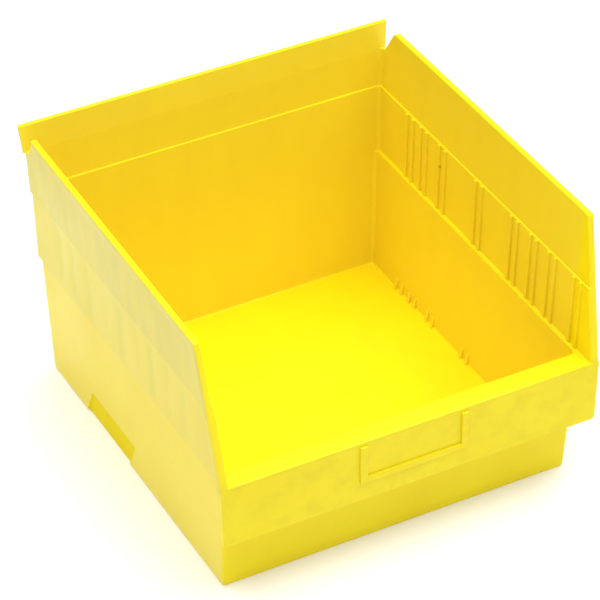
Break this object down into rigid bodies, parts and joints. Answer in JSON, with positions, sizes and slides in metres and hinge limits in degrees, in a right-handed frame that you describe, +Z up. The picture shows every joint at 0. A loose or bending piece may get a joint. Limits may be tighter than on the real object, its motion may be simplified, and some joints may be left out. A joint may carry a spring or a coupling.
{
  "type": "stackable storage bin",
  "caption": "Open-front stacking bin with a hang lip, stepped side walls with divider guides, and an apron with a label holder.",
  "frame": {"origin": "centre of the plan box, on the surface that the floor rests on", "axes": "+X to the bin's right seen from its open front, +Y towards the hang lip at its back, +Z up"},
  "size_m": [0.289, 0.2969, 0.2032],
  "materials": {
    "yellow_plastic": "satin moulded polypropylene"
  },
  "bodies": {
    "root": {"back_lower_wall": "yellow_plastic", "back_middle_wall": "yellow_plastic", "back_step_ledge": "yellow_plastic", "back_upper_wall": "yellow_plastic", "floor_panel": "yellow_plastic", "front_apron": "yellow_plastic", "front_ledge": "yellow_plastic", "front_lower_wall": "yellow_plastic", "hang_lip": "yellow_plastic", "label_holder_rail": "yellow_plastic", "left_apron_web": "yellow_plastic", "left_guide_1_front_rib": "yellow_plastic", "left_guide_1_rear_rib": "yellow_plastic", "left_guide_2_front_rib": "yellow_plastic", "left_guide_2_rear_rib": "yellow_plastic", "left_guide_3_front_rib": "yellow_plastic", "left_guide_3_rear_rib": "yellow_plastic", "left_guide_4_front_rib": "yellow_plastic", "left_guide_4_rear_rib": "yellow_plastic", "left_guide_5_front_rib": "yellow_plastic", "left_guide_5_rear_rib": "yellow_plastic", "left_guide_6_front_rib": "yellow_plastic", "left_guide_6_rear_rib": "yellow_plastic", "left_guide_7_front_rib": "yellow_plastic", "left_guide_7_rear_rib": "yellow_plastic", "left_guide_8_front_rib": "yellow_plastic", "left_guide_8_rear_rib": "yellow_plastic", "left_label_holder_bar": "yellow_plastic", "left_lower_wall": "yellow_plastic", "left_rear_corner_wall": "yellow_plastic", "left_slot_wall": "yellow_plastic", "left_step_ledge": "yellow_plastic", "left_upper_wall": "yellow_plastic", "right_apron_web": "yellow_plastic", "right_guide_1_front_rib": "yellow_plastic", "right_guide_1_rear_rib": "yellow_plastic", "right_guide_2_front_rib": "yellow_plastic", "right_guide_2_rear_rib": "yellow_plastic", "right_guide_3_front_rib": "yellow_plastic", "right_guide_3_rear_rib": "yellow_plastic", "right_guide_4_front_rib": "yellow_plastic", "right_guide_4_rear_rib": "yellow_plastic", "right_guide_5_front_rib": "yellow_plastic", "right_guide_5_rear_rib": "yellow_plastic", "right_guide_6_front_rib": "yellow_plastic", "right_guide_6_rear_rib": "yellow_plastic", "right_guide_7_front_rib": "yellow_plastic", "right_guide_7_rear_rib": "yellow_plastic", "right_guide_8_front_rib": "yellow_plastic", "right_guide_8_rear_rib": "yellow_plastic", "right_label_holder_bar": "yellow_plastic", "right_lower_wall": "yellow_plastic", "right_rear_corner_wall": "yellow_plastic", "right_slot_wall": "yellow_plastic", "right_step_ledge": "yellow_plastic", "right_upper_wall": "yellow_plastic"}
  },
  "joints": []
}
